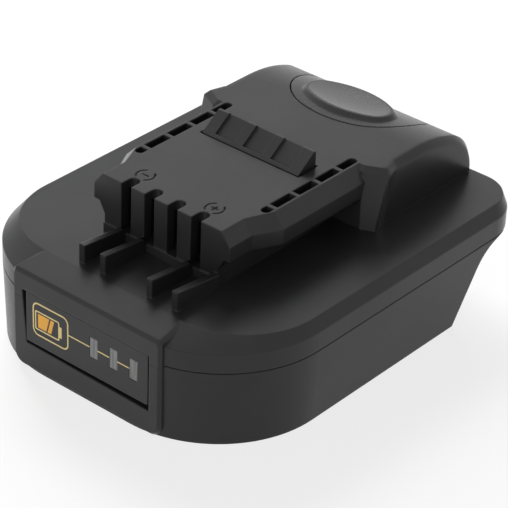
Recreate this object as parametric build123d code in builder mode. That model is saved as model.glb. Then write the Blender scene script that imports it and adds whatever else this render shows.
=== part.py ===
from build123d import *
import math
import os

# A battery adapter for cordless tools. A slide-in pack of one system enters the bay
# underneath from the rear, and the railed tower on top enters a tool of another system.
# Millimetres. +Z is up, +X is right seen from the front, and +Y runs to the rear.
# The origin is on the floor, under the middle of the adapter.

os.makedirs("parts", exist_ok=True)

# Body
body_width = 78.0
body_length = 96.0
parting_height = 17.2
rim_height = 21.7
deck_height = 24.1
tower_height = 37.2
shell_wall = 2.2
shell_gap = 0.2
side_lean = 0.8
front_corner_radius = 26.0
rear_corner_radius = 10.0
parting_groove = 0.25
overrun = 1.0

# Deck bevels, widest at the front
deck_front_run = 7.7
deck_side_run = 1.8
deck_rear_run = 0.4
deck_front_radius = 18.4
deck_rear_radius = 8.5

# Bezel, the flat face on the front
bezel_width = 41.0
bezel_top = 23.3
bezel_proud = 0.2
bezel_edge_bevel = 0.6
bezel_corner_radius = 2.5
bezel_foot_radius = 3.0

# The skirt's rear end leans back and sweeps out under the deck
skirt_rear_angle = 60.0
skirt_sweep_radius = 10.8
skirt_sweep_setback = 6.5

# Bay for the battery pack
bay_ceiling = 16.0
lip_height = 1.6
bay_rail_front = -22.0
bay_rail_rear = 24.0
bay_rail_outer = 58.0
bay_rail_mouth = 44.0
bay_rail_web = 2.0
bay_rail_bottom = 7.5
bay_rail_thickness = 2.2
pocket_width = 14.0
pocket_length = 5.0
pocket_y = 19.5
pocket_depth = 5.4
pocket_wall = 1.4

# Tower
tower_front = -25.9
tower_rear = 16.5
tower_web_width = 31.2
tower_narrow_width = 37.2
tower_wide_width = 43.4
tower_narrow_top = 32.6
tower_wide_top = 37.8
tower_bevel_height = 2.9
tower_foot_proud = 0.4
tower_flare_front = -19.2
tower_flare_rear = -13.0
rail_underside = 30.7
rail_root_run = 1.5
rail_root_rise = 2.7

# Ladder of blind pockets along each edge of the tower's top
ladder_x = 17.3
ladder_width = 2.1
ladder_front = -14.6
ladder_rear = 15.0
ladder_first_bridge = -11.7
ladder_bridge_pitch = 7.0
ladder_bridge_count = 4
ladder_bridge_width = 1.0
ladder_depth = 4.5

# Slots in the tower's front for a tool's terminals, and the polarity marks behind them
contact_pitch_inner = 6.3
contact_pitch_outer = 19.1
slot_width = 2.7
slot_bottom = 26.0
slot_notch = 3.5
mark_x = 9.5
mark_y = -20.2
mark_radius = 2.2
mark_stroke = 0.4
mark_opening = 2.0
mark_bar = 1.8
mark_depth = 0.3

# Fins in front of the tower
fin_positions = (-10.0, -4.2, 8.6, 15.4)
fin_thickness = 1.5
fin_setback = 1.7
fin_front_height = 4.3
fin_rear_height = 2.9

# Hump behind the tower, with a bevelled pillar at each front corner
hump_front_base = 10.5
hump_front_top = 13.4
hump_half_width = 24.5
hump_pillar_proud = 1.0
hump_facet_base_width = 2.6
hump_facet_top_width = 4.9
hump_facet_turn = 27.0
hump_pillar_length = 0.8
hump_pillar_blend = 3.4
hump_slope_run = 20.0
hump_slope_radius = 35.0
hump_shoulder_radius = 10.6
hump_edge_bevel = 1.2
hump_pillar_bevel = 1.0

# Release button, with an oval thumb pad that tilts back and is dished
button_setback = 23.0
button_half_width = 16.1
button_front_radius = 22.0
button_side_radius = 13.2
button_seam = 0.3
button_bottom = 29.5
button_wall = 1.8
button_sill = 24.9
pad_setback = 13.65
pad_rise = 0.3
pad_tilt = 5.7
pad_half_width = 11.0
pad_front_radius = 18.0
pad_side_radius = 4.4
pad_flare = 2.6
pad_lip = 0.6
pad_hollow = 0.45
pad_hollow_run = 2.2

# Latch wedge that stands out of the tower's top
wedge_width = 26.4
wedge_front = 1.3
wedge_back = 6.9
wedge_ridge_length = 0.6
wedge_height = 3.6
wedge_gap = 0.4
wedge_end_rib = 3.0
wedge_rib = 2.4
wedge_panel_count = 3
wedge_panel_depth = 0.6
wedge_panel_margin = 0.9

# Carrier that joins the button and the wedge
carrier_thickness = 2.0
carrier_width = 24.8
carrier_inset = 0.3
carrier_skirt_height = 4.2
carrier_skirt_thickness = 1.5
carrier_rear_gap = 0.4
stop_rib_x = 9.6
stop_rib_width = 1.6
stop_rib_front = 9.0
stop_rib_setback = 4.0
stop_gap = 0.3

# Springs under the carrier, and the posts and pegs that keep them in place
spring_x = 8.5
spring_setback = 14.0
spring_wire = 0.6
spring_mean_radius = 2.7
spring_turns = 6
spring_corners = 8
spring_end_gap = 0.05
post_radius = 1.8
post_height = 1.6
peg_height = 2.0

# Gauge flap, cut free from the bezel on three sides, and its hinge at the top
notch_left = -17.7
notch_right = 17.6
notch_top = 18.9
notch_bottom_left = 6.3
notch_bottom_right = 5.7
notch_relief_radius = 0.5
flap_left = -16.5
flap_right = 17.3
flap_bottom = 7.0
flap_corner_radius = 0.4
flap_thickness = 1.8
flap_root_gap = 0.05
window_width = 2.1
window_height = 4.7
window_z = 13.6
window_positions = (2.5, 7.95, 13.4)
window_gap = 0.05
pipe_length = 2.9
pipe_flange = 0.5
pipe_flange_thickness = 0.4
nib_radius = 1.5
nib_length = 0.55

# Chamber behind the flap, and the board in it
chamber_width = 37.2
chamber_depth = 5.8
chamber_wall = 2.0
chamber_floor = 5.6
indicator_width = 34.0
indicator_thickness = 1.0
indicator_gap = 0.3
led_width = 1.6
led_depth = 0.8
led_height = 3.0
switch_x = -9.5
switch_z = 13.4
switch_size = 4.6
switch_depth = 1.6
plunger_radius = 0.9
plunger_clearance = 0.08
plunger_proud = 0.45
plunger_length = 1.05
plunger_room = 0.35

# Control board over the bay's ceiling, and what is on it
board_width = 48.0
board_setback = 10.0
board_rear = -2.0
board_thickness = 1.2
standoff_height = 0.6
standoff_radius = 1.6
standoff_inset = 3.0
link_width = 8.0
link_overlap = 0.8
strap_width = 3.0
strap_thickness = 0.8
strap_inset = 1.0
strap_jog_front = -30.0
strap_jog_rear = -27.0
strap_rear = -13.4
strap_clearance = 0.3
regulator_x = -5.0
regulator_y = -7.0
regulator_width = 6.5
regulator_length = 5.5
regulator_height = 2.3
regulator_bevel = 0.4
capacitor_x = 6.0
capacitor_y = -7.0
capacitor_radius = 2.5
capacitor_height = 8.5
capacitor_groove_height = 1.2
capacitor_groove_depth = 0.3
capacitor_groove_width = 0.6

# Tower contacts and the block that holds them
block_width = 25.8
block_front = -23.4
block_rear = -12.6
block_top = 34.6
block_slot_width = 3.4
contact_back = -13.8
contact_front = -22.6
contact_pinch_y = -20.4
contact_leaf = 0.5
contact_width = 2.9
contact_pinch = 0.6
contact_mouth = 2.0
contact_bottom = 27.0
contact_top = 34.0
contact_tail_width = 1.2
contact_tail_gap = 0.05

# Bay contacts and the block that holds them
bay_block_width = 36.0
bay_block_gap = 0.4
bay_block_length = 11.8
bay_block_bottom = 6.0
bay_block_bevel = 1.0
blade_pitch = 6.6
blade_count = 5
blade_thickness = 0.8
blade_bottom = 8.2
blade_top = 13.2
blade_inset = 2.8
blade_length = 22.0
blade_tip_bevel = 1.0
blade_tail_length = 4.0
blade_gap = 0.05

# Screws that hold the shells together
screw_x = 32.7
screw_rows = (-22.0, 33.0)
screw_radius = 1.2
screw_shank_radius = 1.1
screw_length = 5.2
screw_head_radius = 2.4
screw_head_height = 1.1
screw_recess = 1.6
screw_clearance = 0.25
screw_pilot_gap = 0.05
screw_pilot_room = 0.2
screw_drive_radius = 1.1
screw_drive_depth = 0.6
boss_radius = 2.9

# Sides of the small round holes, posts and shanks that nothing shows, and of those that little shows
hidden_sides = 6
small_sides = 16

# Places worked out from the sizes above
half_width = body_width / 2
front_face = -body_length / 2
rear_face = body_length / 2
wall_front = front_face + bezel_proud
inner_front = wall_front + shell_wall
inner_rear = rear_face - shell_wall
deck_front = wall_front + deck_front_run
deck_rear = rear_face - deck_rear_run
ceiling_top = parting_height + lip_height
cavity_top = deck_height - shell_wall
roof_underside = tower_height - shell_wall
slope_y = rear_face - hump_slope_run
slope_z = tower_height - hump_slope_radius
shoulder_y = rear_face - hump_shoulder_radius
shoulder_rise = math.sqrt((hump_slope_radius - hump_shoulder_radius) ** 2 - (shoulder_y - slope_y) ** 2)
shoulder_z = slope_z + shoulder_rise
shoulder_angle = math.atan2(shoulder_rise, shoulder_y - slope_y)
button_front = rear_face - button_setback
button_side_x = button_half_width - button_side_radius
button_turn = math.asin(button_side_x / (button_front_radius - button_side_radius))
button_half_length = button_front_radius - (button_front_radius - button_side_radius) * math.cos(button_turn)
button_y = button_front + button_half_length
hump_pillar = hump_half_width + hump_pillar_proud
hump_pillar_depth = hump_facet_top_width * math.tan(math.radians(hump_facet_turn)) + hump_pillar_length
pad_y = rear_face - pad_setback
pad_normal = Vector(0, math.sin(math.radians(pad_tilt)), math.cos(math.radians(pad_tilt)))
skirt_sweep_y = rear_face - skirt_sweep_setback
spring_y = rear_face - spring_setback
chamber_rear = front_face + chamber_depth
board_front = front_face + board_setback
link_rear = board_front + link_overlap
bay_block_front = chamber_rear + chamber_wall + bay_block_gap
bay_block_rear = bay_block_front + bay_block_length
blade_root = bay_block_front + blade_inset
blade_tip = blade_root + blade_length
blade_tail_rear = blade_root + blade_tail_length
strap_front = board_front + strap_inset
carrier_bottom = button_bottom - carrier_thickness
carrier_rear = inner_rear - carrier_rear_gap
contact_positions = (
    -contact_pitch_outer / 2,
    -contact_pitch_inner / 2,
    contact_pitch_inner / 2,
    contact_pitch_outer / 2,
)
blade_positions = [(i - (blade_count - 1) / 2) * blade_pitch for i in range(blade_count)]
board_bottom = ceiling_top + standoff_height
board_top = board_bottom + board_thickness
strap_top = board_top + strap_thickness
flap_rear = front_face + flap_thickness
indicator_rear = chamber_rear - indicator_gap
indicator_front = indicator_rear - indicator_thickness
screw_seat = bay_ceiling + screw_recess
screw_spots = [(side * screw_x, row) for side in (-1, 1) for row in screw_rows]


def rounded_plan(height, half, front, rear, front_radius, rear_radius):
    """A plan with wide front corners and smaller rear ones, at a height."""
    with BuildSketch(Plane.XY.offset(height)) as plan:
        with BuildLine():
            Polyline((-half, front), (half, front), (half, rear), (-half, rear), close=True)
        make_face()
        fillet(plan.vertices().group_by(Axis.Y)[0], front_radius)
        fillet(plan.vertices().group_by(Axis.Y)[-1], rear_radius)
    return plan.sketch


def body_plan(height, inset, lean=0.0):
    """The body's outline, drawn in by an inset all round and by a lean at the sides."""
    return rounded_plan(
        height,
        half_width - inset - lean,
        wall_front + inset,
        rear_face - inset,
        front_corner_radius - inset,
        rear_corner_radius - inset,
    )


def deck_plan(height, inset):
    """The outline of the deck's flat top, drawn in by an inset."""
    return rounded_plan(
        height,
        half_width - deck_side_run - inset,
        deck_front + inset,
        deck_rear - inset,
        deck_front_radius - inset,
        deck_rear_radius - inset,
    )


def slab(x_range, y_range, z_range, mode=Mode.ADD):
    """A block between two places along each axis, added to the part being built."""
    with BuildSketch(Plane.XY.offset(z_range[0])) as plan:
        with Locations((sum(x_range) / 2, sum(y_range) / 2)):
            Rectangle(x_range[1] - x_range[0], y_range[1] - y_range[0])
    extrude(plan.sketch, amount=z_range[1] - z_range[0], mode=mode)


def rod(spot, radius, z_range, mode=Mode.ADD):
    """An upright round rod or hole at a spot."""
    with BuildSketch(Plane.XY.offset(z_range[0])) as plan:
        with Locations(spot):
            Circle(radius)
    extrude(plan.sketch, amount=z_range[1] - z_range[0], mode=mode)


def sided_rod(spot, radius, sides, z_range, mode=Mode.ADD):
    """An upright rod or hole with flat sides, which just holds a round one of the same radius."""
    with BuildSketch(Plane.XY.offset(z_range[0])) as plan:
        with Locations(spot):
            RegularPolygon(radius, sides, major_radius=False)
    extrude(plan.sketch, amount=z_range[1] - z_range[0], mode=mode)


def across(half):
    """The range of a piece that is centred across the adapter."""
    return (-half, half)


def around(middle, width):
    """The range of a piece of a given width round its middle."""
    return (middle - width / 2, middle + width / 2)


def pillar_plan(height, front, facet_width):
    """The outline of the hump's front, with a pillar at each corner that blends into the sides."""
    facet_end = front + facet_width * math.tan(math.radians(hump_facet_turn))
    pillar_end = facet_end + hump_pillar_length
    with BuildSketch(Plane.XY.offset(height)) as plan:
        with BuildLine() as right_side:
            Polyline(
                (0, front),
                (hump_pillar - facet_width, front),
                (hump_pillar, facet_end),
                (hump_pillar, pillar_end),
                (hump_half_width, pillar_end + hump_pillar_blend),
                (0, pillar_end + hump_pillar_blend),
            )
            mirror(right_side.line, about=Plane.YZ)
        make_face()
    return plan.sketch


def hump_inner_plan(height, front):
    """The outline of the hollow inside the hump."""
    with BuildSketch(Plane.XY.offset(height)) as plan:
        with Locations((0, (front + shell_wall + rear_face) / 2)):
            Rectangle(2 * (hump_half_width - shell_wall), rear_face - front - shell_wall)
    return plan.sketch


def shoulder_profile(inset, bottom, front_foot=tower_front, front_head=tower_front):
    """The side view of the hump: flat top, long slope, small shoulder, upright rear."""
    slope_radius = hump_slope_radius - inset
    top = slope_z + slope_radius
    rear = shoulder_y + hump_shoulder_radius - inset
    slope_end = (
        slope_y + slope_radius * math.cos(shoulder_angle),
        slope_z + slope_radius * math.sin(shoulder_angle),
    )
    with BuildSketch(Plane.YZ) as profile:
        with BuildLine():
            slope = TangentArc((slope_y, top), slope_end, tangent=(1, 0))
            TangentArc(slope_end, (rear, shoulder_z), tangent=slope % 1)
            Polyline(
                (rear, shoulder_z),
                (rear, bottom),
                (front_foot, bottom),
                (front_head, top),
                (slope_y, top),
            )
        make_face()
    return profile.sketch


def oval_plan(plane, half_width, front_radius, side_radius, outset):
    """An oval of four arcs, a flattened front and rear between round sides, grown by an outset."""
    side_x = half_width - side_radius
    turn = math.asin(side_x / (front_radius - side_radius))
    half_length = front_radius - (front_radius - side_radius) * math.cos(turn)
    join_x = side_x + (side_radius + outset) * math.sin(turn)
    join_y = (side_radius + outset) * math.cos(turn)
    with BuildSketch(plane) as plan:
        with BuildLine():
            for way in (-1, 1):
                ThreePointArc(
                    (-join_x, way * join_y),
                    (0, way * (half_length + outset)),
                    (join_x, way * join_y),
                )
                ThreePointArc(
                    (way * join_x, -join_y),
                    (way * (half_width + outset), 0),
                    (way * join_x, join_y),
                )
        make_face()
    return plan.sketch


def button_plan(height, outset):
    """The button's outline seen from above."""
    plane = Plane(origin=(0, button_y, height))
    return oval_plan(plane, button_half_width, button_front_radius, button_side_radius, outset)


def pad_plan(depth, outset):
    """The thumb pad's outline on its tilted plane, at a depth below its rim."""
    plane = Plane(origin=(0, pad_y, tower_height + pad_rise), x_dir=(1, 0, 0), z_dir=pad_normal)
    return oval_plan(plane.offset(-depth), pad_half_width, pad_front_radius, pad_side_radius, outset)


def tower_plan(height, narrow_width, wide_width):
    """The rails' outline: a narrow front that flares out to the wide rails."""
    narrow = narrow_width / 2
    wide = wide_width / 2
    with BuildSketch(Plane.XY.offset(height)) as plan:
        with BuildLine():
            Polyline(
                (-narrow, tower_front),
                (narrow, tower_front),
                (narrow, tower_flare_front),
                (wide, tower_flare_rear),
                (wide, tower_rear),
                (-wide, tower_rear),
                (-wide, tower_flare_rear),
                (-narrow, tower_flare_front),
                close=True,
            )
        make_face()
    return plan.sketch


def notch_profile():
    """The front view of the gap round the gauge flap, widest at its top left."""
    with BuildSketch(Plane.XZ.offset(-front_face + overrun)) as profile:
        with BuildLine():
            Polyline(
                (flap_left - window_gap, notch_bottom_left),
                (notch_right, notch_bottom_right),
                (notch_right, notch_top),
                (notch_left, notch_top),
                close=True,
            )
        make_face()
        fillet(profile.vertices().sort_by(Axis.X)[0], notch_relief_radius)
    return profile.sketch


def save(piece, name):
    """Labels a piece and writes it to its own file."""
    piece.label = name
    export_step(piece, f"parts/{name}.step")


# Bezel block, split between the two shells at the parting line
with BuildPart() as bezel:
    with BuildSketch(Plane.YZ):
        with BuildLine():
            Polyline(
                (front_face, 0),
                (front_face, bezel_top),
                (deck_front, deck_height),
                (deck_front, rim_height),
                (inner_front, rim_height),
                (inner_front, 0),
                close=True,
            )
        make_face()
    extrude(amount=bezel_width / 2, both=True)
    with BuildSketch(Plane.XZ.offset(-front_face)) as bezel_front:
        with Locations((0, deck_height / 2)):
            Rectangle(bezel_width, deck_height)
        fillet(bezel_front.vertices().group_by(Axis.Y)[0], bezel_foot_radius)
        fillet(bezel_front.vertices().group_by(Axis.Y)[-1], bezel_corner_radius)
    extrude(bezel_front.sketch, amount=front_face - deck_front, mode=Mode.INTERSECT)
    front_outline = bezel.faces().sort_by(Axis.Y)[0].edges()
    chamfer(front_outline, bezel_edge_bevel)

# Hump's front, with its pillars
with BuildPart() as hump_front:
    front_base = pillar_plan(cavity_top, hump_front_base, hump_facet_base_width)
    front_top = pillar_plan(tower_height, hump_front_top, hump_facet_top_width)
    loft([front_base.face(), front_top.face()], ruled=True)
    pillar_edges = hump_front.faces().sort_by(Axis.Z)[-1].edges().sort_by(Axis.Y)[:-1]
    chamfer(pillar_edges, hump_pillar_bevel)

# Hump, used for the upper shell and for the button that is cut out of it
with BuildPart() as hump:
    hump_side = shoulder_profile(
        0, cavity_top, hump_front_base + hump_pillar_depth, hump_front_top + hump_pillar_depth
    )
    extrude(hump_side, amount=hump_half_width, both=True)
    side_edges = hump.edges().filter_by(lambda edge: abs(edge.center().X) > hump_half_width / 2)
    side_edges = side_edges.filter_by(lambda edge: edge.center().Y > hump_front_top + hump_pillar_depth)
    chamfer(side_edges.filter_by(lambda edge: edge.center().Z > deck_height), hump_edge_bevel)
    add(hump_front.part)

# Space inside the hump
with BuildPart() as hump_inside:
    inner_base = hump_inner_plan(ceiling_top, hump_front_base)
    inner_top = hump_inner_plan(tower_height, hump_front_top)
    loft([inner_base.face(), inner_top.face()], ruled=True)
    extrude(shoulder_profile(shell_wall, ceiling_top), amount=half_width, both=True, mode=Mode.INTERSECT)

# Upper shell: rim, deck, bezel head, hump and tower, all hollow
with BuildPart() as upper_shell:
    extrude(body_plan(parting_height, 0), amount=rim_height - parting_height)
    outer_edges = upper_shell.faces().sort_by(Axis.Z)[0].edges()
    chamfer(outer_edges, parting_groove)
    loft([body_plan(rim_height, 0).face(), deck_plan(deck_height, 0).face()], ruled=True)
    add(split(bezel.part, bisect_by=Plane.XY.offset(parting_height), keep=Keep.TOP, mode=Mode.PRIVATE))
    add(hump.part)
    # tower's rails, bevelled at the top, on a narrower web
    bevel_foot = tower_height - tower_bevel_height
    rail_plan = tower_plan(rail_underside, tower_narrow_width, tower_wide_width)
    extrude(rail_plan, amount=bevel_foot - rail_underside)
    loft(
        [
            tower_plan(bevel_foot, tower_narrow_width, tower_wide_width).face(),
            tower_plan(tower_height, tower_narrow_top, tower_wide_top).face(),
        ],
        ruled=True,
    )
    with BuildSketch(Plane.XZ.offset(-tower_front)) as web:
        with BuildLine() as web_side:
            Polyline(
                (0, cavity_top),
                (tower_web_width / 2, cavity_top),
                (tower_web_width / 2, rail_underside - rail_root_rise),
                (tower_web_width / 2 + rail_root_run, rail_underside),
                (0, rail_underside),
            )
            mirror(web_side.line, about=Plane.YZ)
        make_face()
    extrude(web.sketch, amount=-(tower_rear - tower_front))
    tower_foot = (tower_front - tower_foot_proud, tower_front)
    slab(across(tower_web_width / 2), tower_foot, (cavity_top, slot_bottom))
    # fins
    for x in fin_positions:
        with BuildSketch(Plane.YZ.offset(x - fin_thickness / 2)) as fin:
            with BuildLine():
                Polyline(
                    (deck_front + fin_setback, cavity_top),
                    (deck_front + fin_setback, deck_height + fin_front_height),
                    (tower_front, deck_height + fin_rear_height),
                    (tower_front, cavity_top),
                    close=True,
                )
            make_face()
        extrude(fin.sketch, amount=fin_thickness)
    # hollow inside
    hollow_foot = rim_height - shell_wall
    extrude(body_plan(parting_height, shell_wall), amount=hollow_foot - parting_height, mode=Mode.SUBTRACT)
    loft(
        [body_plan(hollow_foot, shell_wall).face(), deck_plan(cavity_top, shell_wall).face()],
        ruled=True,
        mode=Mode.SUBTRACT,
    )
    add(hump_inside.part, mode=Mode.SUBTRACT)
    slab(
        across(tower_web_width / 2 - shell_wall),
        (tower_front + shell_wall, tower_rear),
        (cavity_top - overrun, roof_underside),
        Mode.SUBTRACT,
    )
    # openings for the button and the wedge
    button_hole = button_plan(button_sill, button_seam)
    extrude(button_hole, amount=tower_height + overrun - button_sill, mode=Mode.SUBTRACT)
    slab(
        across(wedge_width / 2 + wedge_gap),
        (wedge_front - wedge_gap, wedge_back + wedge_gap),
        (cavity_top, tower_height + overrun),
        Mode.SUBTRACT,
    )
    # terminal slots, open at the tower's front and top
    for x in contact_positions:
        slot_end = tower_front + slot_notch - slot_width / 2
        slot_heights = (slot_bottom, tower_height + overrun)
        slab(around(x, slot_width), (tower_front - overrun, slot_end), slot_heights, Mode.SUBTRACT)
        rod((x, slot_end), slot_width / 2, slot_heights, Mode.SUBTRACT)
    # ladder pockets, with the bridges put back
    for side in (-1, 1):
        with BuildSketch(Plane.XY.offset(tower_height)) as ladder:
            with Locations((side * ladder_x, (ladder_front + ladder_rear) / 2)):
                SlotOverall(ladder_rear - ladder_front, ladder_width, rotation=90)
            for i in range(ladder_bridge_count):
                with Locations((side * ladder_x, ladder_first_bridge + i * ladder_bridge_pitch)):
                    Rectangle(ladder_width, ladder_bridge_width, mode=Mode.SUBTRACT)
        extrude(ladder.sketch, amount=-ladder_depth, mode=Mode.SUBTRACT)
    # polarity marks
    for side in (-1, 1):
        with BuildSketch(Plane.XY.offset(tower_height)) as mark:
            with Locations((side * mark_x, mark_y)):
                Circle(mark_radius)
                Circle(mark_radius - mark_stroke, mode=Mode.SUBTRACT)
                Rectangle(mark_opening, mark_radius * 2, mode=Mode.SUBTRACT)
                Rectangle(mark_bar, mark_stroke)
                if side > 0:
                    Rectangle(mark_stroke, mark_bar)
        extrude(mark.sketch, amount=-mark_depth, mode=Mode.SUBTRACT)
    # bosses for the screws
    for spot in screw_spots:
        sided_rod(spot, boss_radius, hidden_sides, (ceiling_top, cavity_top + overrun))
    for spot in screw_spots:
        pilot_end = screw_seat + screw_length + screw_pilot_room
        pilot_heights = (ceiling_top - overrun, pilot_end)
        sided_rod(spot, screw_radius + screw_pilot_gap, hidden_sides, pilot_heights, Mode.SUBTRACT)
    # gap round the gauge flap
    extrude(notch_profile(), amount=-(shell_wall + bezel_proud + 2 * overrun), mode=Mode.SUBTRACT)
save(upper_shell.part, "upper_shell")

# Lower shell: skirt, bay ceiling, bay rails and the chamber behind the gauge flap
with BuildPart() as lower_shell:
    loft([body_plan(0, 0, side_lean).face(), body_plan(parting_height, 0).face()], ruled=True)
    add(split(bezel.part, bisect_by=Plane.XY.offset(parting_height), keep=Keep.BOTTOM, mode=Mode.PRIVATE))
    loft(
        [body_plan(0, shell_wall, side_lean).face(), body_plan(bay_ceiling, shell_wall).face()],
        ruled=True,
        mode=Mode.SUBTRACT,
    )
    extrude(body_plan(parting_height, shell_wall + shell_gap), amount=lip_height)
    # the skirt's rear end
    sweep_turn = math.radians(skirt_rear_angle)
    sweep_center_z = parting_height - skirt_sweep_radius
    lean_top_y = skirt_sweep_y - skirt_sweep_radius * math.sin(sweep_turn)
    lean_top_z = sweep_center_z + skirt_sweep_radius * math.cos(sweep_turn)
    lean_foot_y = lean_top_y - (lean_top_z + overrun) / math.tan(sweep_turn)
    with BuildSketch(Plane.YZ) as rear_cut:
        with BuildLine():
            Line((lean_foot_y, -overrun), (lean_top_y, lean_top_z))
            RadiusArc((lean_top_y, lean_top_z), (skirt_sweep_y, parting_height), skirt_sweep_radius)
            Polyline(
                (skirt_sweep_y, parting_height),
                (rear_face + overrun, parting_height),
                (rear_face + overrun, -overrun),
                (lean_foot_y, -overrun),
            )
        make_face()
    extrude(rear_cut.sketch, amount=half_width + overrun, both=True, mode=Mode.SUBTRACT)
    # bay rails
    with BuildSketch(Plane.XZ.offset(-bay_rail_front)) as bay_rails:
        rail_web_inner = bay_rail_outer / 2 - bay_rail_web
        with BuildLine():
            Polyline(
                (bay_rail_mouth / 2, bay_rail_bottom),
                (bay_rail_outer / 2, bay_rail_bottom),
                (bay_rail_outer / 2, bay_ceiling),
                (rail_web_inner, bay_ceiling),
                (rail_web_inner, bay_rail_bottom + bay_rail_thickness),
                (bay_rail_mouth / 2, bay_rail_bottom + bay_rail_thickness),
                close=True,
            )
        make_face()
        mirror(about=Plane.YZ)
    extrude(bay_rails.sketch, amount=-(bay_rail_rear - bay_rail_front))
    # chamber behind the flap
    slab(
        across(chamber_width / 2 + chamber_wall),
        (inner_front, chamber_rear + chamber_wall),
        (chamber_floor - chamber_wall, bay_ceiling),
    )
    slab(
        across(chamber_width / 2),
        (inner_front, chamber_rear),
        (chamber_floor, ceiling_top + overrun),
        Mode.SUBTRACT,
    )
    extrude(notch_profile(), amount=-(shell_wall + bezel_proud + 2 * overrun), mode=Mode.SUBTRACT)
    # pocket for the battery pack's latch
    pocket_outer_length = pocket_length + 2 * pocket_wall
    slab(
        across(pocket_width / 2 + pocket_wall),
        around(pocket_y, pocket_outer_length),
        (ceiling_top, bay_ceiling + pocket_depth + pocket_wall),
    )
    slab(
        across(pocket_width / 2),
        around(pocket_y, pocket_length),
        (bay_ceiling - overrun, bay_ceiling + pocket_depth),
        Mode.SUBTRACT,
    )
    # posts for the springs and standoffs for the control board
    for side in (-1, 1):
        post_spot = (side * spring_x, spring_y)
        sided_rod(post_spot, post_radius, hidden_sides, (ceiling_top, ceiling_top + post_height))
        for y in (board_front + standoff_inset, board_rear - standoff_inset):
            standoff_spot = (side * (board_width / 2 - standoff_inset), y)
            sided_rod(standoff_spot, standoff_radius, hidden_sides, (ceiling_top, board_bottom))
    # screw holes and their recesses
    for spot in screw_spots:
        recess_heights = (bay_ceiling - overrun, screw_seat)
        hole_heights = (screw_seat, ceiling_top + overrun)
        sided_rod(spot, screw_head_radius + screw_clearance, small_sides, recess_heights, Mode.SUBTRACT)
        sided_rod(spot, screw_radius + screw_clearance, hidden_sides, hole_heights, Mode.SUBTRACT)
    # slots for the bay contacts' tails
    for x in blade_positions:
        slab(
            around(x, blade_thickness + 2 * blade_gap),
            (blade_root - blade_gap, blade_tail_rear + blade_gap),
            (bay_ceiling - overrun, ceiling_top + overrun),
            Mode.SUBTRACT,
        )
save(lower_shell.part, "lower_shell")

# Gauge flap with its windows and the nib that works the switch
with BuildPart() as gauge_flap:
    with BuildSketch(Plane.XZ.offset(-front_face)) as flap_face:
        with BuildLine():
            Polyline(
                (flap_left, flap_bottom),
                (flap_right, flap_bottom),
                (flap_right, notch_top - flap_root_gap),
                (flap_left, notch_top - flap_root_gap),
                close=True,
            )
        make_face()
        fillet(flap_face.vertices().group_by(Axis.Y)[0], flap_corner_radius)
        for x in window_positions:
            with Locations((x, window_z)):
                Rectangle(window_width + 2 * window_gap, window_height + 2 * window_gap, mode=Mode.SUBTRACT)
    extrude(flap_face.sketch, amount=-flap_thickness)
    with BuildSketch(Plane.XZ.offset(-flap_rear)) as nib:
        with Locations((switch_x, switch_z)):
            Circle(nib_radius)
    extrude(nib.sketch, amount=-nib_length)
save(gauge_flap.part, "gauge_flap")

# Light pipes, each with a flange behind the flap
for x, place in zip(window_positions, ("left", "middle", "right")):
    with BuildPart() as light_pipe:
        pipe_front = front_face + window_gap
        slab(
            around(x, window_width),
            (pipe_front, pipe_front + pipe_length),
            around(window_z, window_height),
        )
        slab(
            around(x, window_width + 2 * pipe_flange),
            (flap_rear, flap_rear + pipe_flange_thickness),
            around(window_z, window_height + 2 * pipe_flange),
        )
    save(light_pipe.part, f"light_pipe_{place}")

# Thumb pad: an oval whose foot flares out into the button, with a shallow dish
with BuildPart() as pad:
    loft([pad_plan(0, 0).face(), pad_plan(pad_flare, pad_flare).face()], ruled=True)
    loft(
        [pad_plan(0, -pad_lip).face(), pad_plan(pad_hollow, -(pad_lip + pad_hollow_run)).face()],
        ruled=True,
        mode=Mode.SUBTRACT,
    )

# Release button: the hump's surface inside the seam, the pad on it, hollow below
with BuildPart() as release_button:
    add(hump.part)
    add(pad.part)
    button_height = tower_height + pad_flare - button_bottom
    extrude(button_plan(button_bottom, 0), amount=button_height, mode=Mode.INTERSECT)
    button_inside = extrude(
        button_plan(button_bottom, -button_wall),
        amount=tower_height - button_bottom,
        mode=Mode.PRIVATE,
    )
    below_wall = extrude(
        shoulder_profile(button_wall, cavity_top),
        amount=half_width,
        both=True,
        mode=Mode.PRIVATE,
    )
    add(button_inside & below_wall, mode=Mode.SUBTRACT)
save(release_button.part, "release_button")

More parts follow.
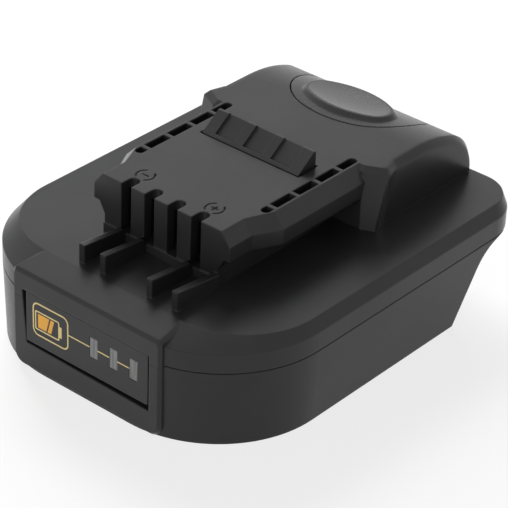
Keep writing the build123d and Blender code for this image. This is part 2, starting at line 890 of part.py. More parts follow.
# Latch wedge, with recessed panels between ribs
with BuildPart() as latch_wedge:
    ridge_y = wedge_back - wedge_ridge_length
    ridge_z = tower_height + wedge_height
    with BuildSketch(Plane.YZ) as wedge_side:
        with BuildLine():
            Polyline(
                (wedge_front, button_bottom),
                (wedge_front, tower_height),
                (ridge_y, ridge_z),
                (wedge_back, ridge_z),
                (wedge_back, button_bottom),
                close=True,
            )
        make_face()
    extrude(wedge_side.sketch, amount=wedge_width / 2, both=True)
    ramp = math.hypot(ridge_y - wedge_front, wedge_height)
    along = ((ridge_y - wedge_front) / ramp, wedge_height / ramp)
    ribs_width = 2 * wedge_end_rib + (wedge_panel_count - 1) * wedge_rib
    panel_width = (wedge_width - ribs_width) / wedge_panel_count
    for i in range(wedge_panel_count):
        panel_left = wedge_end_rib + i * (panel_width + wedge_rib) - wedge_width / 2
        panel_foot = (
            wedge_front + along[0] * wedge_panel_margin,
            tower_height + along[1] * wedge_panel_margin,
        )
        panel_end = (panel_foot[0] + along[0] * ramp, panel_foot[1] + along[1] * ramp)
        sink = (along[1] * wedge_panel_depth, -along[0] * wedge_panel_depth)
        with BuildSketch(Plane.YZ.offset(panel_left)) as panel:
            with BuildLine():
                Polyline(
                    panel_foot,
                    panel_end,
                    (panel_end[0] + sink[0], panel_end[1] + sink[1]),
                    (panel_foot[0] + sink[0], panel_foot[1] + sink[1]),
                    close=True,
                )
            make_face()
        extrude(panel.sketch, amount=panel_width, mode=Mode.SUBTRACT)
save(latch_wedge.part, "latch_wedge")

# Latch carrier, which joins the wedge and the button and closes the space behind them
with BuildPart() as latch_carrier:
    slab(across(carrier_width / 2), (wedge_front, button_y), (carrier_bottom, button_bottom))
    extrude(button_plan(carrier_bottom, -carrier_inset), amount=carrier_thickness)
    slab(
        across(half_width),
        (carrier_rear, button_y + button_front_radius),
        (carrier_bottom, button_bottom),
        Mode.SUBTRACT,
    )
    carrier_side_radius = button_side_radius - carrier_inset
    skirt_half = button_side_x + math.sqrt(carrier_side_radius**2 - (carrier_rear - button_y) ** 2)
    slab(
        across(skirt_half),
        (carrier_rear - carrier_skirt_thickness, carrier_rear),
        (carrier_bottom - carrier_skirt_height, carrier_bottom),
    )
    for side in (-1, 1):
        slab(
            around(side * stop_rib_x, stop_rib_width),
            (stop_rib_front, button_front - stop_rib_setback),
            (button_bottom, roof_underside - stop_gap),
        )
        peg_heights = (carrier_bottom - peg_height, carrier_bottom)
        sided_rod((side * spring_x, spring_y), post_radius, hidden_sides, peg_heights)
save(latch_carrier.part, "latch_carrier")

# Springs under the carrier, with straight-sided turns because nothing shows them
for side, place in ((-1, "left"), (1, "right")):
    with BuildPart() as spring:
        coil_bottom = ceiling_top + spring_end_gap + spring_wire / 2
        coil_top = carrier_bottom - spring_end_gap - spring_wire / 2
        corner_count = spring_turns * spring_corners
        coil_points = []
        for i in range(corner_count + 1):
            turn = 2 * math.pi * i / spring_corners
            coil_points.append((
                side * spring_x + spring_mean_radius * math.cos(turn),
                spring_y + spring_mean_radius * math.sin(turn),
                coil_bottom + (coil_top - coil_bottom) * i / corner_count,
            ))
        with BuildLine() as coil:
            Polyline(*coil_points)
        with BuildSketch(Plane(origin=coil.line @ 0, z_dir=coil.line % 0)):
            RegularPolygon(spring_wire / 2, hidden_sides)
        sweep(path=coil.line, transition=Transition.RIGHT)
    save(spring.part, f"release_spring_{place}")

# Contact block in the tower
with BuildPart() as contact_block:
    slab(across(block_width / 2), (block_front, block_rear), (board_top, block_top))
    for x in contact_positions:
        slab(
            around(x, block_slot_width),
            (block_front - overrun, contact_back),
            (contact_bottom, block_top + overrun),
            Mode.SUBTRACT,
        )
        slab(
            around(x, contact_tail_width + 2 * contact_tail_gap),
            (contact_back - contact_leaf - contact_tail_gap, contact_back),
            (board_top - overrun, contact_bottom + overrun),
            Mode.SUBTRACT,
        )
    for side in (-1, 1):
        slab(
            around(side * contact_pitch_outer / 2, strap_width + 2 * strap_clearance),
            (block_front - overrun, strap_rear + strap_clearance),
            (board_top - overrun, strap_top + strap_clearance),
            Mode.SUBTRACT,
        )
save(contact_block.part, "contact_block")

# Tower contacts: fork-shaped clips seen from above, each with a tail down to the board
for i, x in enumerate(contact_positions):
    with BuildPart() as tower_contact:
        outer_side = [
            (contact_width / 2, contact_back),
            (contact_pinch / 2 + contact_leaf, contact_pinch_y),
            (contact_mouth / 2 + contact_leaf, contact_front),
        ]
        inner_side = [
            (contact_mouth / 2, contact_front),
            (contact_pinch / 2, contact_pinch_y),
            (contact_width / 2 - contact_leaf, contact_back - contact_leaf),
        ]
        right_side = outer_side + inner_side
        left_side = [(-px, py) for px, py in reversed(right_side)]
        with BuildSketch(Plane.XY.offset(contact_bottom)) as fork:
            with BuildLine():
                Polyline(*[(x + px, py) for px, py in right_side + left_side], close=True)
            make_face()
        extrude(fork.sketch, amount=contact_top - contact_bottom)
        is_outer = abs(x) > contact_pitch_inner / 2
        tail_foot = strap_top if is_outer else board_top
        slab(
            around(x, contact_tail_width),
            (contact_back - contact_leaf, contact_back),
            (tail_foot, contact_bottom),
        )
    save(tower_contact.part, f"tower_contact_{i + 1}")

# Control board
with BuildPart() as control_board:
    slab(across(board_width / 2), (board_front, board_rear), (board_bottom, board_top))
    fillet(control_board.edges().filter_by(Axis.Z), standoff_radius)
save(control_board.part, "control_board")

# Straps that carry the current from the bay's outer contacts to the tower's
for side, name in ((1, "positive_strap"), (-1, "negative_strap")):
    with BuildPart() as strap:
        bay_side = around(side * blade_positions[-1], strap_width)
        tower_side = around(side * contact_pitch_outer / 2, strap_width)
        heights = (board_top, strap_top)
        slab(bay_side, (strap_front, strap_jog_rear), heights)
        jog_side = (min(bay_side + tower_side), max(bay_side + tower_side))
        slab(jog_side, (strap_jog_front, strap_jog_rear), heights)
        slab(tower_side, (strap_jog_front, strap_rear), heights)
    save(strap.part, name)

# Contact block in the bay
with BuildPart() as bay_contact_block:
    slab(across(bay_block_width / 2), (bay_block_front, bay_block_rear), (bay_block_bottom, bay_ceiling))
    rear_edges = bay_contact_block.faces().sort_by(Axis.Y)[-1].edges()
    chamfer(rear_edges.sort_by(Axis.Z)[0], bay_block_bevel)
    for x in blade_positions:
        blade_room = around(x, blade_thickness + 2 * blade_gap)
        slab(
            blade_room,
            (blade_root, bay_block_rear + overrun),
            (blade_bottom - blade_gap, blade_top + blade_gap),
            Mode.SUBTRACT,
        )
        slab(
            blade_room,
            (blade_root, blade_tail_rear + blade_gap),
            (blade_bottom, bay_ceiling + overrun),
            Mode.SUBTRACT,
        )
save(bay_contact_block.part, "bay_contact_block")

# Bay blades, each with a tail up to the board
for i, x in enumerate(blade_positions):
    with BuildPart() as blade:
        with BuildSketch(Plane.YZ.offset(x - blade_thickness / 2)) as blade_side:
            with BuildLine():
                Polyline(
                    (blade_root, blade_bottom),
                    (blade_tip - blade_tip_bevel, blade_bottom),
                    (blade_tip, blade_bottom + blade_tip_bevel),
                    (blade_tip, blade_top - blade_tip_bevel),
                    (blade_tip - blade_tip_bevel, blade_top),
                    (blade_tail_rear, blade_top),
                    (blade_tail_rear, board_bottom),
                    (blade_root, board_bottom),
                    close=True,
                )
            make_face()
        extrude(blade_side.sketch, amount=blade_thickness)
    save(blade.part, f"bay_blade_{i + 1}")

# Indicator board, its lamps and the strip that links it to the control board
with BuildPart() as indicator_board:
    slab(across(indicator_width / 2), (indicator_front, indicator_rear), (chamber_floor, board_bottom))
save(indicator_board.part, "indicator_board")

for x, place in zip(window_positions, ("left", "middle", "right")):
    with BuildPart() as indicator_led:
        slab(
            around(x, led_width),
            (indicator_front - led_depth, indicator_front),
            around(window_z, led_height),
        )
    save(indicator_led.part, f"indicator_led_{place}")

with BuildPart() as board_link:
    slab(across(link_width / 2), (indicator_rear, link_rear), (ceiling_top, board_bottom))
save(board_link.part, "board_link")

# Switch behind the flap's nib
switch_front = indicator_front - switch_depth
plunger_front = switch_front - plunger_proud
with BuildPart() as switch_body:
    slab(
        around(switch_x, switch_size),
        (switch_front, indicator_front),
        around(switch_z, switch_size),
    )
    with BuildSketch(Plane.XZ.offset(-switch_front)) as bore:
        with Locations((switch_x, switch_z)):
            Circle(plunger_radius + plunger_clearance)
    extrude(bore.sketch, amount=-(plunger_length - plunger_proud + plunger_room), mode=Mode.SUBTRACT)
save(switch_body.part, "switch_body")

with BuildPart() as switch_plunger:
    with BuildSketch(Plane.XZ.offset(-plunger_front)) as plunger_end:
        with Locations((switch_x, switch_z)):
            Circle(plunger_radius)
    extrude(plunger_end.sketch, amount=-plunger_length)
save(switch_plunger.part, "switch_plunger")

# Voltage regulator and filter capacitor on the control board
with BuildPart() as voltage_regulator:
    slab(
        around(regulator_x, regulator_width),
        around(regulator_y, regulator_length),
        (board_top, board_top + regulator_height),
    )
    chamfer(voltage_regulator.faces().sort_by(Axis.Z)[-1].edges(), regulator_bevel)
save(voltage_regulator.part, "voltage_regulator")

with BuildPart() as filter_capacitor:
    can_spot = (capacitor_x, capacitor_y)
    groove_bottom = board_top + capacitor_groove_height
    groove_top = groove_bottom + capacitor_groove_width
    neck_radius = capacitor_radius - capacitor_groove_depth
    sided_rod(can_spot, capacitor_radius, small_sides, (board_top, groove_bottom))
    sided_rod(can_spot, neck_radius, small_sides, (groove_bottom, groove_top))
    sided_rod(can_spot, capacitor_radius, small_sides, (groove_top, board_top + capacitor_height))
save(filter_capacitor.part, "filter_capacitor")

# Screws that come up through the bay's ceiling into the upper shell
with BuildPart() as housing_screws:
    for spot in screw_spots:
        head_bottom = screw_seat - screw_head_height
        sided_rod(spot, screw_head_radius, small_sides, (head_bottom, screw_seat))
        sided_rod(spot, screw_shank_radius, hidden_sides, (screw_seat, screw_seat + screw_length))
        with BuildSketch(Plane.XY.offset(head_bottom)) as drive:
            with Locations(spot):
                RegularPolygon(screw_drive_radius, 6)
        extrude(drive.sketch, amount=screw_drive_depth, mode=Mode.SUBTRACT)
save(housing_screws.part, "housing_screws")
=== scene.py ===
import bpy
import math
from mathutils import Matrix, Vector


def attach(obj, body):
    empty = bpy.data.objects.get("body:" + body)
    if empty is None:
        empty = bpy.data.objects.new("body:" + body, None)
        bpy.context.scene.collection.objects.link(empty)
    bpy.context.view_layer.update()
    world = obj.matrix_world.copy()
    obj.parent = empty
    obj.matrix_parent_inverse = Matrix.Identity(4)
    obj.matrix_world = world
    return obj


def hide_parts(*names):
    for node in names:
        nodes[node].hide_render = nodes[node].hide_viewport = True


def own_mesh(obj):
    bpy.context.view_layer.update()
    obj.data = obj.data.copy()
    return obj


# Tool battery adapter, in metres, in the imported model's frame.
# +X is right seen from the front, +Y runs to the rear and +Z is up.

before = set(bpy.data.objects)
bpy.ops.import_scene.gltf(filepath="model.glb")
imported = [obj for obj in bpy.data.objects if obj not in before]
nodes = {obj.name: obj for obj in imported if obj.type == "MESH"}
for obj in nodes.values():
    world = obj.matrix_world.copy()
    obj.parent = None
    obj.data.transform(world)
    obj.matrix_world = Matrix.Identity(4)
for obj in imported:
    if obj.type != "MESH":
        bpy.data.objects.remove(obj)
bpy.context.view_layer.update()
scene = bpy.context.scene

# Camera, as found from the photograph's edges
camera_place = (0.2849, -0.3390, 0.2905)
camera_azimuth = math.radians(39.71)
camera_elevation = math.radians(32.05)
camera_roll = math.radians(2.21)
camera_lens = 173.61
sensor_width = 36.0
camera_near = 0.01
camera_far = 20.0

# Lamps, their places, what they shine at, their widths in metres and their powers in watts
key_place = (-0.75, 0.55, 0.62)
key_aim = (0.0, 0.0, 0.02)
key_size = 0.6
key_power = 18.0
fill_place = (0.15, -1.2, 0.25)
fill_aim = (0.0, 0.0, 0.01)
fill_size = 0.8
fill_power = 5.0

# Surroundings
white = (1.0, 1.0, 1.0, 1.0)
world_light = 0.15
floor_reach = 4.0
floor_colour = (0.8, 0.8, 0.8)
floor_roughness = 0.9
floor_shaded_colour = (0.25, 0.25, 0.25)
floor_glow = 0.78
floor_far_glow = 0.97
floor_glow_start = 0.25
floor_glow_end = 0.9

# Noise, how much of its range goes from one colour to the other
ramp_start = 0.35
ramp_end = 0.65

# Moulded plastic, its scales counted per metre
black = (0.028, 0.028, 0.029)
plastic_ior = 1.37
pad_ior = 1.64
tone_scale = 60.0
tone_spread = 0.15
sheen_scale = 900.0
sheen_below = 0.02
sheen_above = 0.03
grain_scale = 9000.0
control_grain_scale = 7000.0
grain_detail = 2.0
grain_depth = 0.00004
grain_strength = 0.04
plain_edge = 0.0003
edge_samples = 4

# Where the hump's upper edges are rounder than the rest
hump_soft_side = 0.019
hump_soft_front = 0.0165
hump_soft_bottom = 0.026
hump_soft_radius = 0.0014

# Corners between the deck and what stands on it, which stay sharp
foot_side = 0.026
foot_run = (-0.038, 0.046)
foot_levels = (0.0235, 0.0247)
foot_less_radius = 0.00042

# Drawn and rolled metal
metal_stretch = 12.0
metal_scale = 1500.0
metal_dark_share = 0.85
metal_sheen_below = 0.06
metal_sheen_above = 0.08
metal_streak_depth = 0.00002
metal_streak_strength = 0.2

# Milky windows, streaked along their height
window_stretch = 0.06
window_scale = 2600.0
window_dark = (0.24, 0.24, 0.24)
window_light = (0.42, 0.42, 0.42)
window_roughness = 0.35
window_grain_scale = 4000.0
window_grain_strength = 0.15
window_transmission = 0.15
window_subsurface = 0.3
window_subsurface_scale = 0.001

# Print on the gauge flap, places across and up its face
line_colour = (0.90, 0.72, 0.32)
bar_colour = (1.0, 0.50, 0.07)
face_y = -0.048
face_depth = 0.0001
frame_middle = (-0.0096, 0.01344)
frame_half = (0.0049, 0.0038)
frame_corner = 0.0014
frame_line = 0.00036
symbol_middle = (-0.01054, 0.01317)
symbol_half = (0.0033, 0.00215)
symbol_corner = 0.0003
symbol_line = 0.00034
nub_middle = (-0.00675, 0.01308)
nub_half = (0.00033, 0.00133)
charge_half_height = 0.00167
charge_slant = 0.27
charge_block = (-0.01317, -0.01037)
charge_slash = (-0.0100, -0.0090)
lead_span = (-0.0047, 0.0130)
lead_height = 0.01354
lead_line = 0.0003

# The Mix node's colour sockets, by number because its other sockets have the same names
mix_base = 6
mix_over = 7
mix_result = 2

# Dish in the thumb pad, an oval of four arcs on a plane that tilts back
dish_middle = (0.0, 0.03435, 0.0375)
dish_tilt = math.radians(5.7)
dish_half_width = 0.0104
dish_front_radius = 0.0174
dish_side_radius = 0.0038
dish_depth = 0.00043
dish_lift = 0.00002
dish_rings = 14
dish_arc_points = 20

# Springs under the button, round wire along their height
spring_side = 0.0085
spring_y = 0.034
spring_bottom = 0.01885
spring_top = 0.02745
spring_wire_radius = 0.0003
spring_mean_radius = 0.0027
spring_turns = 6
spring_turn_points = 24
spring_wire_sides = 8


def principled(material):
    """The material's main shader."""
    return material.node_tree.nodes["Principled BSDF"]


def new_material(name):
    """A node material with only its main shader."""
    material = bpy.data.materials.new(name)
    material.use_nodes = True
    return material


def add_node(material, kind, **values):
    """A node with some of its inputs or settings filled in."""
    node = material.node_tree.nodes.new(kind)
    for key, value in values.items():
        if key in node.inputs:
            node.inputs[key].default_value = value
        else:
            setattr(node, key, value)
    return node


def link(material, start, end):
    """Joins an output to an input."""
    material.node_tree.links.new(start, end)


def object_place(material):
    """Where a point lies in its object's own frame."""
    return add_node(material, "ShaderNodeTexCoord").outputs["Object"]


def coordinates(material):
    """A point's three coordinates in its object's own frame."""
    split = add_node(material, "ShaderNodeSeparateXYZ")
    link(material, object_place(material), split.inputs["Vector"])
    return split.outputs["X"], split.outputs["Y"], split.outputs["Z"]


def noise(material, place, scale, detail=4.0):
    """Smooth noise at a scale, counted per metre."""
    node = add_node(material, "ShaderNodeTexNoise", Scale=scale, Detail=detail)
    link(material, place, node.inputs["Vector"])
    return node.outputs["Fac"]


def streaks(material, stretch, scale):
    """Noise drawn out along the height, or packed along it where the stretch is over one."""
    mapping = add_node(material, "ShaderNodeMapping", Scale=(1.0, 1.0, stretch))
    link(material, object_place(material), mapping.inputs["Vector"])
    return noise(material, mapping.outputs["Vector"], scale)


def ramp(material, factor, low, high):
    """Two colours or greys mixed by a factor."""
    node = add_node(material, "ShaderNodeValToRGB")
    first, last = node.color_ramp.elements
    first.position = ramp_start
    last.position = ramp_end
    first.color = (*low, 1.0)
    last.color = (*high, 1.0)
    link(material, factor, node.inputs["Fac"])
    return node.outputs["Color"]


def bumped(material, height, distance, strength):
    """Turns a height into a tilt of the surface."""
    node = add_node(material, "ShaderNodeBump", Distance=distance, Strength=strength)
    link(material, height, node.inputs["Height"])
    link(material, node.outputs["Normal"], principled(material).inputs["Normal"])
    return node


def calculate(material, operation, *values):
    """A sum, product or comparison of numbers and other outputs."""
    node = add_node(material, "ShaderNodeMath", operation=operation)
    for socket, value in zip(node.inputs, values):
        if isinstance(value, (int, float)):
            socket.default_value = value
        else:
            link(material, value, socket)
    return node.outputs["Value"]


def product(material, *values):
    """Several numbers and outputs multiplied together."""
    total = values[0]
    for value in values[1:]:
        total = calculate(material, "MULTIPLY", total, value)
    return total


def largest(material, *masks):
    """One wherever any of some masks is one."""
    total = masks[0]
    for mask in masks[1:]:
        total = calculate(material, "MAXIMUM", total, mask)
    return total


def within(material, value, low, high):
    """One between two limits and nothing outside them."""
    above = calculate(material, "GREATER_THAN", value, low)
    below = calculate(material, "LESS_THAN", value, high)
    return product(material, above, below)


def vary_sheen(material, factor, roughness, below, above):
    """Lets the roughness wander a little below and above a value."""
    sheen = ramp(material, factor, (roughness - below,) * 3, (roughness + above,) * 3)
    link(material, sheen, principled(material).inputs["Roughness"])


def moulded_surface(material, roughness, grain, strength, edge, ior):
    """The sheen, spark-eroded grain and softened edges of a moulding."""
    place = object_place(material)
    vary_sheen(material, noise(material, place, sheen_scale), roughness, sheen_below, sheen_above)
    principled(material).inputs["IOR"].default_value = ior
    bump = bumped(material, noise(material, place, grain, grain_detail), grain_depth, strength)
    edges = add_node(material, "ShaderNodeBevel", name="edges", Radius=edge, samples=edge_samples)
    link(material, edges.outputs["Normal"], bump.inputs["Normal"])


def moulded_plastic(
    name,
    colour,
    roughness,
    grain=grain_scale,
    strength=grain_strength,
    edge=plain_edge,
    ior=plastic_ior,
):
    """Moulded plastic whose tone changes slowly over its surface."""
    material = new_material(name)
    low = tuple((1 - tone_spread) * c for c in colour)
    high = tuple((1 + tone_spread) * c for c in colour)
    tone = ramp(material, noise(material, object_place(material), tone_scale), low, high)
    link(material, tone, principled(material).inputs["Base Color"])
    moulded_surface(material, roughness, grain, strength, edge, ior)
    return material


def rounder_hump(material):
    """Rounds the hump's upper edges more than the rest, and the corners at the deck less."""
    radius = material.node_tree.nodes["edges"].inputs["Radius"]
    x, y, z = coordinates(material)
    hump = product(
        material,
        calculate(material, "GREATER_THAN", calculate(material, "ABSOLUTE", x), hump_soft_side),
        calculate(material, "GREATER_THAN", y, hump_soft_front),
        calculate(material, "GREATER_THAN", z, hump_soft_bottom),
    )
    foot = product(
        material,
        within(material, x, -foot_side, foot_side),
        within(material, y, *foot_run),
        within(material, z, *foot_levels),
    )
    more = product(material, hump, hump_soft_radius)
    less = product(material, foot, foot_less_radius)
    grown = calculate(material, "ADD", more, radius.default_value)
    link(material, calculate(material, "SUBTRACT", grown, less), radius)


def box_distance(material, across, up, middle, half, corner):
    """How far a point lies outside a rounded box."""
    reaches = []
    for value, centre, size in zip((across, up), middle, half):
        offset = calculate(material, "ABSOLUTE", calculate(material, "SUBTRACT", value, centre))
        reaches.append(calculate(material, "SUBTRACT", offset, size - corner))
    outside = [calculate(material, "MAXIMUM", reach, 0.0) for reach in reaches]
    squares = [product(material, value, value) for value in outside]
    length = calculate(material, "SQRT", calculate(material, "ADD", *squares))
    inside = calculate(material, "MINIMUM", largest(material, *reaches), 0.0)
    return calculate(material, "SUBTRACT", calculate(material, "ADD", length, inside), corner)


def outline(material, across, up, middle, half, corner, line):
    """One along the outline of a rounded box."""
    distance = box_distance(material, across, up, middle, half, corner)
    return calculate(material, "LESS_THAN", calculate(material, "ABSOLUTE", distance), line / 2)


def print_masks(material):
    """Where the flap's lines and its amber charge bars are printed."""
    across, depth, up = coordinates(material)
    on_face = calculate(material, "LESS_THAN", depth, face_y + face_depth)
    nub = box_distance(material, across, up, nub_middle, nub_half, 0.0)
    lead_offset = calculate(material, "ABSOLUTE", calculate(material, "SUBTRACT", up, lead_height))
    lead = product(
        material,
        calculate(material, "LESS_THAN", lead_offset, lead_line / 2),
        within(material, across, *lead_span),
    )
    lines = largest(
        material,
        outline(material, across, up, frame_middle, frame_half, frame_corner, frame_line),
        outline(material, across, up, symbol_middle, symbol_half, symbol_corner, symbol_line),
        calculate(material, "LESS_THAN", nub, 0.0),
        lead,
    )
    rise = calculate(material, "SUBTRACT", up, symbol_middle[1])
    slanted = calculate(material, "SUBTRACT", across, product(material, rise, charge_slant))
    block_start, block_end = charge_block
    block = product(
        material,
        calculate(material, "GREATER_THAN", across, block_start),
        calculate(material, "LESS_THAN", slanted, block_end),
    )
    slash = within(material, slanted, *charge_slash)
    level = calculate(material, "ABSOLUTE", rise)
    bars = product(
        material,
        largest(material, block, slash),
        calculate(material, "LESS_THAN", level, charge_half_height),
    )
    return product(material, lines, on_face), product(material, bars, on_face)


def painted(material, mask, base, colour):
    """A colour laid over another where a mask is one."""
    node = add_node(material, "ShaderNodeMix", data_type="RGBA")
    link(material, mask, node.inputs["Factor"])
    link(material, base, node.inputs[mix_base])
    node.inputs[mix_over].default_value = (*colour, 1.0)
    return node.outputs[mix_result]


def print_symbol(material):
    """Prints the battery symbol, its frame and the lead to the windows."""
    colour = principled(material).inputs["Base Color"]
    lines, bars = print_masks(material)
    lined = painted(material, lines, colour.links[0].from_socket, line_colour)
    link(material, painted(material, bars, lined, bar_colour), colour)


def brushed_metal(name, colour, roughness):
    """Drawn or rolled metal with fine streaks."""
    material = new_material(name)
    shader = principled(material)
    pattern = streaks(material, metal_stretch, metal_scale)
    low = tuple(metal_dark_share * c for c in colour)
    link(material, ramp(material, pattern, low, colour), shader.inputs["Base Color"])
    vary_sheen(material, pattern, roughness, metal_sheen_below, metal_sheen_above)
    shader.inputs["Metallic"].default_value = 1.0
    bumped(material, pattern, metal_streak_depth, metal_streak_strength)
    return material


def window_plastic(name):
    """Milky plastic of the light pipes."""
    material = new_material(name)
    shader = principled(material)
    pattern = streaks(material, window_stretch, window_scale)
    link(material, ramp(material, pattern, window_dark, window_light), shader.inputs["Base Color"])
    moulded_surface(
        material,
        window_roughness,
        window_grain_scale,
        window_grain_strength,
        plain_edge,
        plastic_ior,
    )
    shader.inputs["Transmission Weight"].default_value = window_transmission
    shader.inputs["Subsurface Weight"].default_value = window_subsurface
    shader.inputs["Subsurface Scale"].default_value = window_subsurface_scale
    return material


def assign(material, *names):
    """Gives CAD nodes a material in every slot they have."""
    for name in names:
        mesh = nodes[name].data
        for i in range(len(mesh.materials)):
            mesh.materials[i] = material
        if len(mesh.materials) == 0:
            mesh.materials.append(material)


def named(start):
    """The names of the CAD nodes that begin with a word."""
    return [name for name in nodes if name.startswith(start)]


def new_mesh(name, points, faces, material, smooth):
    """A mesh object of one material."""
    mesh = bpy.data.meshes.new(name)
    mesh.from_pydata(points, [], faces)
    for face in mesh.polygons:
        face.use_smooth = smooth
    mesh.materials.append(material)
    piece = bpy.data.objects.new(name, mesh)
    scene.collection.objects.link(piece)
    return piece


def oval_points():
    """The dish's rim on its own plane, four arcs one after the other."""
    side_x = dish_half_width - dish_side_radius
    turn = math.asin(side_x / (dish_front_radius - dish_side_radius))
    drop = (dish_front_radius - dish_side_radius) * math.cos(turn)
    corner = math.pi / 2 - turn
    arcs = (
        ((side_x, 0.0), dish_side_radius, -corner, corner),
        ((0.0, -drop), dish_front_radius, corner, math.pi - corner),
        ((-side_x, 0.0), dish_side_radius, math.pi - corner, math.pi + corner),
        ((0.0, drop), dish_front_radius, math.pi + corner, 2 * math.pi - corner),
    )
    points = []
    for (x, y), radius, start, end in arcs:
        for i in range(dish_arc_points):
            angle = start + (end - start) * i / dish_arc_points
            points.append((x + radius * math.cos(angle), y + radius * math.sin(angle)))
    return points


def thumb_dish(material):
    """A smooth hollow inside the thumb pad's rim."""
    rim = oval_points()
    along = Vector((0.0, math.cos(dish_tilt), -math.sin(dish_tilt)))
    normal = Vector((0.0, math.sin(dish_tilt), math.cos(dish_tilt)))
    middle = Vector(dish_middle)
    points = [middle + normal * (dish_lift - dish_depth)]
    for ring in range(1, dish_rings + 1):
        share = ring / dish_rings
        height = dish_lift - dish_depth * (1 - share * share)
        for x, y in rim:
            points.append(middle + Vector((x * share, 0.0, 0.0)) + along * (y * share) + normal * height)
    count = len(rim)
    faces = [(0, 1 + i, 1 + (i + 1) % count) for i in range(count)]
    for ring in range(dish_rings - 1):
        inner = 1 + ring * count
        outer = inner + count
        for i in range(count):
            j = (i + 1) % count
            faces.append((inner + i, outer + i, outer + j, inner + j))
    dish = new_mesh("thumb_dish", points, faces, material, True)
    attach(dish, "release")


def wire_rings(side):
    """Points round the wire of a spring, ring after ring from its foot to its top."""
    low = spring_bottom + spring_wire_radius
    high = spring_top - spring_wire_radius
    rise = (high - low) / (spring_turns * 2 * math.pi)
    points = []
    for i in range(spring_turns * spring_turn_points + 1):
        turn = 2 * math.pi * i / spring_turn_points
        outward = Vector((math.cos(turn), math.sin(turn), 0.0))
        forward = Vector((-math.sin(turn), math.cos(turn), rise / spring_mean_radius)).normalized()
        upward = outward.cross(forward)
        middle = Vector((side * spring_side, spring_y, low + rise * turn)) + spring_mean_radius * outward
        for j in range(spring_wire_sides):
            angle = 2 * math.pi * j / spring_wire_sides
            offset = math.cos(angle) * outward + math.sin(angle) * upward
            points.append(middle + spring_wire_radius * offset)
    return points


def coil_spring(side, place, material):
    """A round wire spring on the housing, in place of the CAD spring."""
    sides = spring_wire_sides
    count = spring_turns * spring_turn_points
    faces = []
    for i in range(count):
        start = i * sides
        end = start + sides
        for j in range(sides):
            k = (j + 1) % sides
            faces.append((start + j, end + j, end + k, start + k))
    faces.append(tuple(range(sides)))
    faces.append(tuple(count * sides + j for j in reversed(range(sides))))
    coil = new_mesh(f"coil_{place}", wire_rings(side), faces, material, True)
    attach(coil, "housing")
    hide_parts(f"release_spring_{place}")
    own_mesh(coil)


def place_camera():
    """Puts the camera where the photograph was taken from."""
    back = Vector((
        math.sin(camera_azimuth) * math.cos(camera_elevation),
        -math.cos(camera_azimuth) * math.cos(camera_elevation),
        math.sin(camera_elevation),
    ))
    right = Vector((math.cos(camera_azimuth), math.sin(camera_azimuth), 0.0))
    up = back.cross(right)
    turned_right = math.cos(camera_roll) * right + math.sin(camera_roll) * up
    turned_up = -math.sin(camera_roll) * right + math.cos(camera_roll) * up
    turn = Matrix((turned_right, turned_up, back)).transposed()
    data = bpy.data.cameras.new("camera")
    data.lens = camera_lens
    data.sensor_width = sensor_width
    data.clip_start = camera_near
    data.clip_end = camera_far
    camera = bpy.data.objects.new("camera", data)
    camera.matrix_world = Matrix.Translation(camera_place) @ turn.to_4x4()
    scene.collection.objects.link(camera)
    scene.camera = camera


def soft_lamp(name, place, aim, size, power):
    """A square lamp that shines at a point, and that glossy surfaces don't mirror."""
    data = bpy.data.lights.new(name, "AREA")
    data.shape = "SQUARE"
    data.size = size
    data.energy = power
    lamp = bpy.data.objects.new(name, data)
    lamp.location = place
    lamp.rotation_euler = (Vector(aim) - Vector(place)).to_track_quat("-Z", "Y").to_euler()
    lamp.visible_glossy = False
    scene.collection.objects.link(lamp)


def shown_to_eye(tree):
    """One for rays from the camera and for those that a gloss or glass sends on."""
    paths = tree.nodes.new("ShaderNodeLightPath")
    total = paths.outputs["Is Camera Ray"]
    for name in ("Is Glossy Ray", "Is Transmission Ray"):
        node = tree.nodes.new("ShaderNodeMath")
        node.operation = "MAXIMUM"
        tree.links.new(total, node.inputs[0])
        tree.links.new(paths.outputs[name], node.inputs[1])
        total = node.outputs["Value"]
    return total


def white_surround():
    """A world that looks white to the camera and lights the object at a plain level."""
    world = bpy.data.worlds.new("surround")
    world.use_nodes = True
    scene.world = world
    tree = world.node_tree
    background = tree.nodes["Background"]
    background.inputs["Color"].default_value = white
    background.inputs["Strength"].default_value = world_light
    seen = tree.nodes.new("ShaderNodeBackground")
    seen.inputs["Color"].default_value = white
    seen.inputs["Strength"].default_value = 1.0
    mix = tree.nodes.new("ShaderNodeMixShader")
    tree.links.new(shown_to_eye(tree), mix.inputs["Fac"])
    tree.links.new(background.outputs["Background"], mix.inputs[1])
    tree.links.new(seen.outputs["Background"], mix.inputs[2])
    tree.links.new(mix.outputs["Shader"], tree.nodes["World Output"].inputs["Surface"])


def floor_brightness(material):
    """How bright the floor looks, nearly white far from the object."""
    distance = add_node(material, "ShaderNodeVectorMath", operation="LENGTH")
    link(material, object_place(material), distance.inputs[0])
    limits = {
        "From Min": floor_glow_start,
        "From Max": floor_glow_end,
        "To Min": floor_glow,
        "To Max": floor_far_glow,
    }
    brightness = add_node(material, "ShaderNodeMapRange", **limits)
    link(material, distance.outputs["Value"], brightness.inputs["Value"])
    return brightness.outputs["Result"]


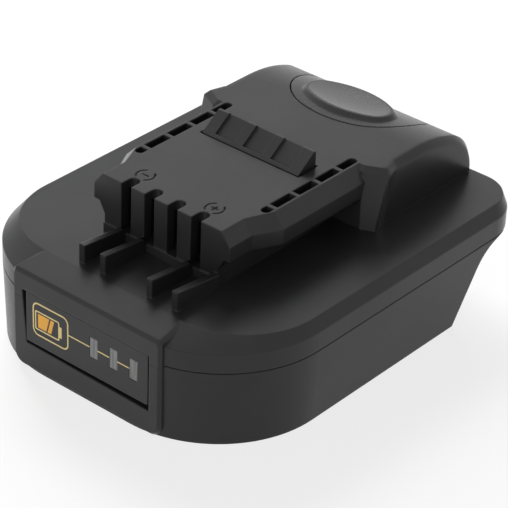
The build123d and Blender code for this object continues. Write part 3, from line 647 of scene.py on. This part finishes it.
def floor_material():
    """A floor that looks white where nothing shades it and greyer in the object's shadow."""
    material = new_material("floor")
    shader = principled(material)
    shader.inputs["Base Color"].default_value = (*floor_colour, 1.0)
    shader.inputs["Roughness"].default_value = floor_roughness
    shader.inputs["Specular IOR Level"].default_value = 0.0
    shaded = add_node(material, "ShaderNodeBsdfDiffuse", Color=(*floor_shaded_colour, 1.0))
    glow = add_node(material, "ShaderNodeEmission")
    link(material, floor_brightness(material), glow.inputs["Strength"])
    total = add_node(material, "ShaderNodeAddShader")
    link(material, shaded.outputs["BSDF"], total.inputs[0])
    link(material, glow.outputs["Emission"], total.inputs[1])
    mix = add_node(material, "ShaderNodeMixShader")
    link(material, shown_to_eye(material.node_tree), mix.inputs["Fac"])
    link(material, shader.outputs["BSDF"], mix.inputs[1])
    link(material, total.outputs["Shader"], mix.inputs[2])
    link(material, mix.outputs["Shader"], material.node_tree.nodes["Material Output"].inputs["Surface"])
    return material


def pale_floor():
    """The floor that the object stands on."""
    corners = ((-1, -1), (1, -1), (1, 1), (-1, 1))
    points = [(floor_reach * x, floor_reach * y, 0.0) for x, y in corners]
    new_mesh("floor", points, [(0, 1, 2, 3)], floor_material(), False)


# Materials
housing_plastic = moulded_plastic("housing_plastic", black, 0.30, edge=0.0006)
upper_plastic = moulded_plastic("upper_plastic", black, 0.30, edge=0.0005)
rounder_hump(upper_plastic)
control_plastic = moulded_plastic(
    "control_plastic",
    (0.040, 0.040, 0.041),
    0.28,
    grain=control_grain_scale,
    edge=0.0006,
)
# The dish's plastic is lighter than the button's own, a painted highlight for the gloss of the tilted
# dish
pad_plastic_painted_highlight = moulded_plastic(
    "pad_plastic_painted_highlight",
    (0.055, 0.055, 0.056),
    0.26,
    grain=control_grain_scale,
    strength=0.012,
    ior=pad_ior,
)
wedge_plastic = moulded_plastic(
    "wedge_plastic",
    (0.034, 0.034, 0.035),
    0.32,
    grain=control_grain_scale,
    strength=0.05,
)
flap_plastic = moulded_plastic("flap_plastic", black, 0.34)
print_symbol(flap_plastic)
carrier_plastic = moulded_plastic("carrier_plastic", (0.012, 0.012, 0.0125), 0.5)
insulator_plastic = moulded_plastic("insulator_plastic", (0.006, 0.006, 0.0065), 0.5)
windows = window_plastic("window_plastic")
board = moulded_plastic("board_laminate", (0.012, 0.09, 0.035), 0.35, grain=3000.0, strength=0.2)
link_plastic = moulded_plastic("link_plastic", (0.45, 0.43, 0.38), 0.45)
lamp_plastic = moulded_plastic("lamp_plastic", (0.75, 0.72, 0.55), 0.35)
component_plastic = moulded_plastic("component_plastic", (0.02, 0.02, 0.02), 0.4)
can_metal = brushed_metal("can_metal", (0.75, 0.75, 0.76), 0.3)
contact_metal = brushed_metal("contact_metal", (0.22, 0.21, 0.19), 0.35)
blade_metal = brushed_metal("blade_metal", (0.80, 0.76, 0.66), 0.28)
copper_metal = brushed_metal("copper_metal", (0.85, 0.50, 0.35), 0.32)
spring_metal = brushed_metal("spring_metal", (0.62, 0.62, 0.63), 0.3)
screw_metal = brushed_metal("screw_metal", (0.30, 0.30, 0.31), 0.35)

# Which node has which material
assign(housing_plastic, "lower_shell")
assign(upper_plastic, "upper_shell")
assign(control_plastic, "release_button")
assign(wedge_plastic, "latch_wedge")
assign(flap_plastic, "gauge_flap")
assign(carrier_plastic, "latch_carrier", "switch_plunger")
assign(insulator_plastic, "contact_block", "bay_contact_block", "switch_body")
assign(windows, *named("light_pipe"))
assign(board, "control_board", "indicator_board")
assign(link_plastic, "board_link")
assign(lamp_plastic, *named("indicator_led"))
assign(component_plastic, "voltage_regulator")
assign(can_metal, "filter_capacitor")
assign(contact_metal, *named("tower_contact"))
assign(blade_metal, *named("bay_blade"))
assign(copper_metal, "positive_strap", "negative_strap")
assign(spring_metal, *named("release_spring"))
assign(screw_metal, "housing_screws")

# Pieces made here, camera, surroundings and lamps
thumb_dish(pad_plastic_painted_highlight)
coil_spring(-1, "left", spring_metal)
coil_spring(1, "right", spring_metal)
place_camera()
white_surround()
pale_floor()
soft_lamp("key", key_place, key_aim, key_size, key_power)
soft_lamp("fill", fill_place, fill_aim, fill_size, fill_power)

scene.view_settings.view_transform = "Standard"
